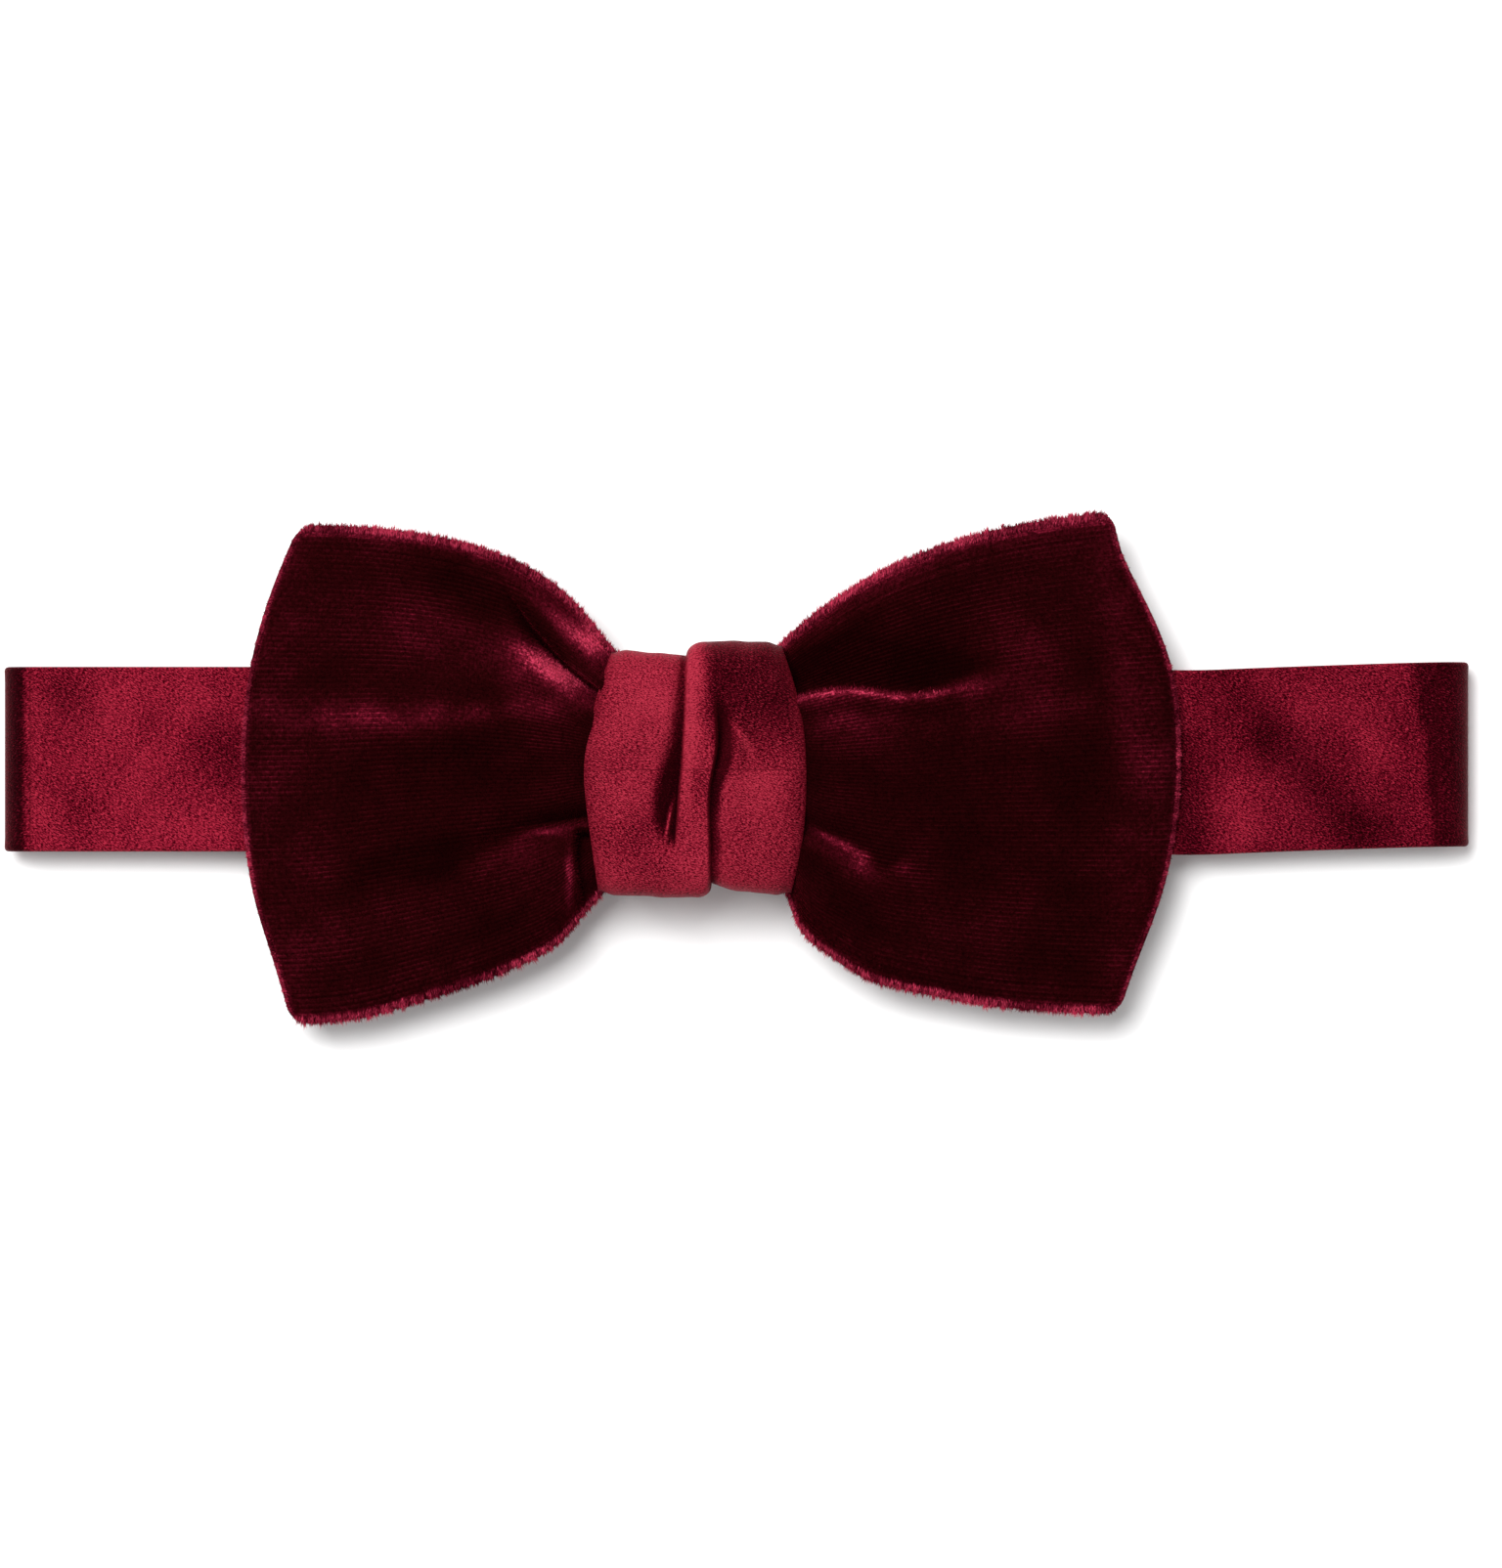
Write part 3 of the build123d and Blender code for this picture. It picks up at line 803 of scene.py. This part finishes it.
def surface_pile(name, wing, seed):
    """The tips of the pile over the whole wing, which give it its speckle and its soft outline."""
    random = np.random.default_rng(seed)
    number = 52000
    u, v = np.meshgrid(np.linspace(0, 1, 260) ** 1.2, np.linspace(0, 1, 300), indexing="ij")
    skin = wing.skin(u, v)
    normal = normals_of(skin)
    nap_and_painted_light = nap_and_painted_light_of(wing, skin, normal, u, v)
    cell = np.linalg.norm(np.cross(np.gradient(skin, axis=0), np.gradient(skin, axis=1)), axis=-1).ravel()
    picked = random.choice(cell.size, number, p=cell / cell.sum())
    jitter = random.normal(0, 0.09, (number, 3))
    root = skin.reshape(-1, 3)[picked] + jitter
    root[:, 2] -= 0.05
    tilt = nap_and_painted_light.ravel()[picked]
    lean = normal.reshape(-1, 3)[picked] + random.normal(0, 0.30, (number, 3)) * (0.6 + tilt)[:, None]
    lean[:, 1] += 0.5 * tilt
    lean /= np.linalg.norm(lean, axis=-1, keepdims=True)
    size = random.uniform(0.25, 0.5, number)
    # the tips take the painted light of the skin below them, with random spread
    tone_and_sheen = np.clip(tilt + random.normal(0, 0.10, number), 0, 1)
    return fibres(name, root, lean, size, tone_and_sheen, width=0.10, material=PILE, random=random)


def fibres(name, root, lean, size, tone_and_sheen, width, material, random):
    """Tapering fibres, each a narrow curved blade of one quad and a point."""
    across = np.cross(lean, random.normal(0, 1, lean.shape))
    across /= np.maximum(np.linalg.norm(across, axis=-1, keepdims=True), 1e-9)
    bend = random.normal(0, 0.10, lean.shape)
    rings, along = [], []
    for part, share in ((0.0, 1.0), (0.55, 0.8)):
        middle = root + (lean + bend * part**2) * (size * part)[:, None]
        rings += [middle - across * width * share / 2, middle + across * width * share / 2]
        along += [np.full(len(size), part)] * 2
    rings.append(root + (lean + bend) * size[:, None])
    along.append(np.ones(len(size)))
    points = np.stack(rings, 1).reshape(-1, 3)
    base = np.arange(len(size))[:, None] * 5
    quads = (base + np.array([[0, 1, 3, 2]])).tolist()
    tips = (base + np.array([[2, 3, 4]])).tolist()
    thing = make_object(name, points, quads + tips, material)
    add_value(thing, "along", np.stack(along, 1))
    add_value(thing, "tone_and_sheen", np.repeat(tone_and_sheen, 5))
    return thing


wings = {"left": left_wing, "right": right_wing}
for seed, (side, wing) in enumerate(wings.items()):
    velvet = wing_velvet(f"velvet_{side}_wing", wing)
    back = wing_back(f"satin_back_{side}", wing)
    edge = fringe(f"fringe_{side}", wing, seed)
    tips = surface_pile(f"pile_{side}", wing, seed + 40)
    for thing, slot in ((velvet, "velvet"), (back, "lining_satin"), (edge, "velvet"), (tips, "velvet")):
        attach(thing, "root")
    if side == "left":
        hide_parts("bow_velvet", "bow_stiffener")
        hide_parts("bow_lining")

# ---- The knot ------------------------------------------------------------------------------
# A band of satin wound round the middle of the bow: two soft lobes cross, the left one lying
# over the right one below and under it above, with a slanting ridge between them.
KNOT_TOP, KNOT_BOTTOM = knot_high[1], knot_low[1]
KNOT_FRONT, KNOT_BACK = knot_high[2], knot_low[2]
KNOT_HALF = 17  # about half its height, where the profiles below end
knot_left_edge = profile((-17.4, -18.2), (-6.6, -19.6), (0.4, -20.1), (7.7, -19.1), (17.4, -16.4))
knot_right_edge = profile((-17.4, 7.2), (-10.6, 8.6), (0.4, 9.25), (6.4, 8.8), (17.4, 5.9))
left_valley = profile(
    (-17, -8.6), (-10, -8.2), (-6, -7.9), (-3, -7.7), (0.3, -7.4), (5, -7.1), (10, -6.9), (17, -6.7)
)
left_depth = profile((-17, 0), (-11.5, 0.0), (-8.5, 1.7), (-3, 2.9), (3, 2.3), (10, 1.7), (17, 1.2))
left_width = profile((-17, 1.6), (-5, 2.5), (1, 2.0), (8, 1.1), (17, 0.6))
right_valley = profile((-17, -3.3), (-9, -3.3), (-2, -3.2), (2.5, -2.4), (7, -2.4), (17, -2.6))
right_depth = profile(
    (-17, 1.1), (-9, 1.5), (-4, 1.6), (-1, 2.0), (3, 3.0), (6, 2.4), (9, 0.5), (12, 0), (17, 0)
)
right_width = profile((-17, 0.9), (-8, 1.3), (0, 1.4), (4, 1.5), (17, 1.3))
# the short bent fold in the right hollow: where it is darkest, and where it catches the light
dark_arc = profile((-4, -3.0), (-2.1, -2.2), (-0.5, -1.4), (1.5, -1.1), (3.6, -1.0), (5.8, -1.6), (7.5, -2.6))
bright_arc = profile((0, 2.2), (2.0, 1.9), (3.6, 1.3), (6.2, -0.6), (8, -2.0))


def tuck(x, y):
    """A small sharp tuck of satin standing inside the left hollow."""
    return hump(x + 8.75 - 0.19 * (y + 6.35), 0.30) * hump(y + 6.35, 2.2)


def knot_relief(x, y):
    """How far the satin stands out from the plain knot, at a place on its front."""
    away = x - left_valley(y)
    valley = np.where(away < 0, hump(away, left_width(y)), ease(0.45, 0, away))
    relief = -np.maximum(left_depth(y), 0) * valley
    away = x - right_valley(y)
    valley = np.where(away > 0, hump(away, right_width(y)), ease(-0.5, 0, away))
    relief = relief - np.maximum(right_depth(y), 0) * valley
    # a small tuck inside the left hollow, and the soft lip right of the right one
    relief += 1.3 * tuck(x, y)
    relief += 0.9 * hump(away - 2.6, 1.0) * hump(y - 3.5, 3.6)
    return relief + 0.22 * waves(x, y, 12, 21)


def knot_edge(x, top):
    """Where the knot's upper or lower edge is, with a step where one lobe covers the other."""
    if top:
        plain = 15.9 + (x + 16.5) * (15.1 - 15.9) / 10
        round_off = np.clip((-4.3 - x) / 2.3, 0, 1)
        over = KNOT_TOP - 1.8 * (1 - np.sqrt(1 - round_off**2))
        return np.where(x < -6.6, plain, over)
    round_off = np.clip((x + 5.2) / 1.9, 0, 1)
    over = KNOT_BOTTOM + 0.4 * ease(-8, -17, x) + 1.5 * (1 - np.sqrt(1 - round_off**2))
    plain = profile((-3.4, -15.0), (-0.9, -15.8), (5, -16.6), (7.5, -17.0))(x)
    return np.where(x < -3.3, over, plain)


def knot_section(count, power=0.5):
    """Directions round a soft oblong, evenly spaced along its outline: (across, outwards)."""
    angle = np.linspace(0, math.tau, 6001)
    unit = np.stack([np.sin(angle), np.cos(angle)], -1)
    unit = np.sign(unit) * np.abs(unit) ** power
    gone = np.concatenate([[0], np.cumsum(np.linalg.norm(np.diff(unit * (KNOT_HALF, 8), axis=0), axis=1))])
    even = np.linspace(0, gone[-1], count, endpoint=False)
    return np.stack([np.interp(even, gone, unit[:, i]) for i in (0, 1)]), even


def knot_wrap():
    """The satin wound round the bow: rows go round it and columns across it."""
    columns, rows = 280, 620
    (y_unit, z_unit), gone = knot_section(rows)
    share = np.linspace(0, 1, columns)
    y_unit, b = np.meshgrid(y_unit, share, indexing="ij")
    z_unit, _ = np.meshgrid(z_unit, share, indexing="ij")
    gone, _ = np.meshgrid(gone, share, indexing="ij")
    z_mid, z_half = (KNOT_FRONT + KNOT_BACK) / 2, (KNOT_FRONT - KNOT_BACK) / 2 - 0.9
    rough = KNOT_HALF * y_unit
    left, right = knot_left_edge(rough), knot_right_edge(rough)
    x = left + (right - left) * b
    y = np.where(y_unit > 0, knot_edge(x, True), -knot_edge(x, False)) * y_unit
    front = ease(-0.2, 0.6, z_unit)
    edge = np.minimum(x - left, right - x)
    y = y * (1 - 0.035 * ease(2.2, 0, edge)) + 0.15 * waves(x, 0 * x, 9, 3) * y_unit
    fall = 1 - np.sqrt(1 - (1 - np.clip(edge / 3.6, 0, 1)) ** 2)
    z = z_mid + z_half * z_unit * (1 - 0.30 * fall * front) - 0.0100 * (x - KNOT_X) ** 2 * front
    relief = knot_relief(x, y)
    z = z + relief * front * ease(0, 3, edge)
    points = np.stack([x, y, z], -1)
    faces = grid_faces(rows, columns, ring_rows=True)
    thing = make_object("knot_satin", points.reshape(-1, 3), faces.tolist(), KNOT)
    add_uv(thing, np.stack([x, gone], -1).reshape(-1, 2))
    # Painted light on the knot: shade is painted shade in the hollows, by the rounded edges and over the top
    # right panel, and below zero a painted highlight on the tuck, along the ridge, on the top left lobe and
    # on the lighter arc.
    hollow = 0.52 + 0.35 * hump(y + 4, 6)
    shade = np.clip(-(relief + 0.30) * hollow, 0, 0.95) * front + 0.25 * fall
    shade = shade + 0.52 * ease(0.0, 10.0, y) * ease(-4.9, -2.4, x) * ease(10, 6, x)
    shade = shade - 1.1 * tuck(x, y)
    ridge = x - left_valley(y)
    shade = shade - 0.38 * hump(ridge - 1.1, 0.9) * ease(-9, -3, y) - 0.30 * hump(np.hypot(x + 11, y - 12), 5)
    shade = shade + 0.75 * hump(x - dark_arc(y), 0.55) * hump(y - 2, 4.2)
    shade = shade - 0.45 * hump(x - bright_arc(y), 0.5) * hump(y - 4, 2.8)
    add_value(thing, "shade", np.clip(shade, -0.5, 0.95))
    return thing


knot = knot_wrap()
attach(knot, "root")
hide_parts("knot_wrap", "knot_pad")

# ---- The band ------------------------------------------------------------------------------
band_low, band_high = cad_box("front_band_satin")
BAND_Y = (band_low[1] + band_high[1]) / 2
BAND_HALF = (band_high[1] - band_low[1]) / 2
STRAP = band_high[2] - band_low[2]
FRONT_Z = (band_low[2] + band_high[2]) / 2
LEFT_END, RIGHT_END = band_low[0], band_high[0]


def arc(x, z, radius, start, stop, count=14):
    """Points of an arc in the XZ plane, its angles in degrees from +X towards +Z."""
    angles = np.radians(np.linspace(start, stop, count))
    return [(x + radius * math.cos(t), z + radius * math.sin(t)) for t in angles]


def line(x0, z0, x1, z1, step=1.0):
    """Points of a straight line in the XZ plane, about a step apart."""
    count = max(2, int(abs(x1 - x0) / step) + 1)
    return list(zip(np.linspace(x0, x1, count), np.linspace(z0, z1, count)))


# Painted shade on the front band, in patches: positive strengths darken the satin, negative ones are painted
# highlights.
band_shade_patches = strokes(
    (-89.0, 9.0, 5.0, 3.0, -45, 0.24),
    (-67.5, 2.5, 3.5, 6.0, 0, 0.32),
    (74.0, 1.5, 11.0, 3.4, -50, 0.33),
    (84.5, -8.0, 6.0, 3.5, 0, 0.28),
    (60.5, -5.5, 2.2, 9.0, 0, 0.40),
    (67.0, 2.0, 2.5, 9.0, -15, -0.10),
    (82.0, 6.0, 10.0, 2.5, -47, -0.10),
)


def band_shade(x, y):
    """Painted shade on the satin, for how its own sheen darkens it: towards both ends, and in broad patches.
    """
    left = 0.75 * ease(-94.2, -95.4, x)
    lean = 0.146 * (y - BAND_Y) + 0.5 * waves(y, 0 * y, 9, 5)
    right = 0.44 * ease(90.9, 92.3, x + lean) + 0.16 * ease(50, 60, x)
    return np.clip(left + right + band_shade_patches(x, y) + 0.05 * waves(x, y, 12, 4), 0, 0.9)


def band_lie(x):
    """The right end lies very slightly askew."""
    return -0.45 * hump(x - 60, 9) + 0.65 * ease(68, 97, x)


def strap(name, path, thickness=STRAP, wave=0.0, seed=1, shaded=0.0):
    """A flat satin strap along a path in the XZ plane, its long edges folded under."""
    path = np.array(path, float)
    keep = np.concatenate([[True], np.linalg.norm(np.diff(path, axis=0), axis=1) > 1e-4])
    path = path[keep]
    tangent = np.gradient(path, axis=0)
    tangent /= np.linalg.norm(tangent, axis=1, keepdims=True)
    normal = np.stack([-tangent[:, 1], tangent[:, 0]], -1)
    gone = np.concatenate([[0], np.cumsum(np.linalg.norm(np.diff(path, axis=0), axis=1))])
    half = np.broadcast_to(np.asarray(thickness, float), (len(keep),))[keep] / 2
    round_off = np.radians(np.linspace(-90, 90, 7))
    flat = np.linspace(-1, 1, 49)[1:-1]
    across = np.concatenate([1 + 0 * round_off, -flat, -1 + 0 * round_off, flat])
    side = np.concatenate([np.sin(round_off), 1 + 0 * flat, np.sin(round_off[::-1]), -1 + 0 * flat])
    swell = np.concatenate([np.cos(round_off), 0 * flat, -np.cos(round_off), 0 * flat])
    s, c = np.meshgrid(gone, np.arange(len(across)), indexing="ij")
    # the cloth is a little thicker along the folded edges
    hollow = 0.94 - 0.10 * ease(0.0, 0.12, 1 - np.abs(across))[c]
    out = side[c] * half[:, None] * hollow
    y = BAND_Y + across[c] * (BAND_HALF - half[:, None]) + swell[c] * half[:, None]
    ripple = wave * waves(s, y, 21, seed)
    x = path[:, 0][:, None] + normal[:, 0][:, None] * (out + ripple)
    z = path[:, 1][:, None] + normal[:, 1][:, None] * (out + ripple)
    points = np.stack([x, y + band_lie(x), z], -1)
    rows, columns = points.shape[:2]
    faces = grid_faces(rows, columns, ring_columns=True).tolist()
    faces += [list(range(columns)), list(range((rows - 1) * columns, rows * columns))[::-1]]
    thing = make_object(name, points.reshape(-1, 3), faces, BAND)
    add_uv(thing, np.stack([s + seed * 37, y + 40 * (side[c] < 0)], -1).reshape(-1, 2))
    # painted shade: a little everywhere, and band_shade's painted shade as far as shaded asks
    add_value(thing, "shade", 0.10 + shaded * band_shade(x, y))
    return thing, gone[-1]


straight = line(LEFT_END, FRONT_Z, RIGHT_END, FRONT_Z)
front, front_length = strap("front_band", straight, wave=0.10, shaded=1.0)
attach(front, "root")
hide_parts("front_band_satin", "front_band_canvas")

FOLD_BULGE = 1.15  # how far the cloth stands out of a true half circle
for side, end, bend, run in (
    ("left", LEFT_END, "left_bend", "left_band"),
    ("right", RIGHT_END, "right_bend", "right_band"),
):
    low, high = cad_box(f"{side}_fold_satin")
    middle_z = (low[2] + high[2]) / 2
    radius = (high[2] - low[2] - STRAP) / 2
    away = -1 if side == "left" else 1
    tip = (end + away * radius, middle_z)
    for half, span, first, second, a, b in (
        ("upper", (90, 180), "root", bend, (end, middle_z + radius), tip),
        ("lower", (180, 270), bend, run, tip, (end, middle_z - radius)),
    ):
        points = [(FOLD_BULGE * x, z) for x, z in arc(0, middle_z, radius, *span)]
        points = [(end + (x if side == "left" else -x), z) for x, z in points]
        fold = strap(f"{side}_fold_{half}", points, shaded=1.0 if half == "upper" else 0.0)[0]
        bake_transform(fold)
        if half == "upper":
            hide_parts(f"{side}_fold_satin", f"{side}_fold_canvas")

left_low, left_high = cad_box("left_band_satin")
LEFT_Z = (left_low[2] + left_high[2]) / 2
SLIDER_X = left_high[0]
left_run, length = strap("left_run", line(LEFT_END, LEFT_Z, SLIDER_X, LEFT_Z), seed=3)
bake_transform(left_run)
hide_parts("left_band_satin", "left_band_canvas")

turn_low, turn_high = cad_box("adjuster_turn")
HOOK_X = turn_low[0]
TURN_Z = (turn_low[2] + turn_high[2]) / 2
TURN_RADIUS = (turn_high[2] - turn_low[2] - STRAP) / 2
straight = line(SLIDER_X, LEFT_Z, HOOK_X, LEFT_Z)
running, running_length = strap("adjuster_running_strap", straight, seed=4)
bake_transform(running)
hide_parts("adjuster_running")

turn = strap("adjuster_turn_strap", arc(HOOK_X, TURN_Z, TURN_RADIUS, -90, 90), seed=5)[0]
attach(turn, "hook_strap")
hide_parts("adjuster_turn")

return_low, return_high = cad_box("adjuster_return")
SINGLE = STRAP / 2
bar_z = return_high[2] - (return_high[2] - return_low[2]) / 2
bar_radius = (return_high[2] - return_low[2] - SINGLE) / 2
return_z = TURN_Z + TURN_RADIUS
path = line(HOOK_X, return_z, SLIDER_X + 8, return_z)
plain = len(path)
path += [(SLIDER_X + 5, return_z + 0.05), (SLIDER_X + 2.5, return_z + 0.2)]
path += arc(SLIDER_X, bar_z, bar_radius, 90, 270, 16)
path += [(SLIDER_X + 2, bar_z - 0.75), (SLIDER_X + 4, bar_z - 0.35)]
path += [(SLIDER_X + 6, bar_z - 0.2), (SLIDER_X + 10, bar_z - 0.18)]
thick = np.full(len(path), SINGLE)
thick[:plain] = STRAP
returning, length = strap("adjuster_return_strap", path, thick, seed=6)
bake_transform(returning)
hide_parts("adjuster_return")

right_low = cad_box("right_band_satin")[0]
hem_low, hem_high = cad_box("right_band_hem")
EYE_X = hem_low[0]
RIGHT_Z = right_low[2] + STRAP / 2
HEM_Z = hem_high[2] - STRAP / 2
eye_turn = (HEM_Z - RIGHT_Z) / 2
path = line(RIGHT_END, RIGHT_Z, EYE_X, RIGHT_Z) + arc(EYE_X, RIGHT_Z + eye_turn, eye_turn, 270, 90)
path += line(EYE_X, HEM_Z, hem_high[0], HEM_Z)
right_run, length = strap("right_run", path, seed=7)
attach(right_run, "right_band")
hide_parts("right_band_satin", "right_band_canvas", "right_band_hem")

# ---- Hardware and thread -------------------------------------------------------------------
METAL_NODES = ("slider", "hook", "eye")
THREAD_NODES = ("adjuster_stitches", "bow_stitches", "hem_stitches", "knot_stitches")
for nodes, material in ((METAL_NODES, METAL), (THREAD_NODES, THREAD)):
    for node in nodes:
        frame["nodes"][node].data.materials.clear()
        frame["nodes"][node].data.materials.append(material)

# ---- Floor, light and camera ---------------------------------------------------------------
TABLE_HALF = 2500
KEY_PLACE = (-0.30, 0.38, 1.20)  # metres
KEY_SIZE, KEY_POWER = 0.66, 22.0
WORLD_STRENGTH = 0.49
LENS, SENSOR = 200, 36
VIEW_X, VIEW_Y = 1.95, -1.95  # what the camera looks straight down at
VIEW_Z = 8  # the height above the table where the view is VIEW_HEIGHT tall
VIEW_HEIGHT = 208.5


def floor():
    """The pale table the bow tie lies on."""
    s = Shader("pale_table")
    cloud = s.noise(s.node("TexCoord").outputs["Object"], 9.0, 3.0)
    s.set(Base_Color=s.ramp(cloud, (0.3, (0.93, 0.93, 0.93)), (0.7, (0.96, 0.96, 0.96))), Roughness=0.8)
    corners = [(x * TABLE_HALF, y * TABLE_HALF, 0) for x, y in ((-1, -1), (1, -1), (1, 1), (-1, 1))]
    table = make_object("table", corners, [[0, 1, 2, 3]], s.material, smooth=False)


def area_light(name, place, target, size, power):
    """A square white lamp at a place, turned to face a target; both are in metres."""
    data = bpy.data.lights.new(name, "AREA")
    data.size, data.energy = size, power
    light = bpy.data.objects.new(name, data)
    light.location = place
    light.rotation_euler = (Vector(target) - Vector(place)).to_track_quat("-Z", "Y").to_euler()
    bpy.context.collection.objects.link(light)


floor()
area_light("key", KEY_PLACE, (0, 0, 0), KEY_SIZE, KEY_POWER)

world = bpy.data.worlds.new("studio")
world.use_nodes = True
background = world.node_tree.nodes["Background"]
background.inputs["Color"].default_value = (1, 1, 1, 1)
background.inputs["Strength"].default_value = WORLD_STRENGTH
bpy.context.scene.world = world
bpy.context.scene.view_settings.view_transform = "Standard"

camera_data = bpy.data.cameras.new("camera")
camera_data.lens, camera_data.sensor_width = LENS, SENSOR
camera = bpy.data.objects.new("camera", camera_data)
distance = VIEW_HEIGHT / SENSOR * LENS
camera.location = (VIEW_X * MM, VIEW_Y * MM, (distance + VIEW_Z) * MM)
bpy.context.collection.objects.link(camera)
bpy.context.scene.camera = camera
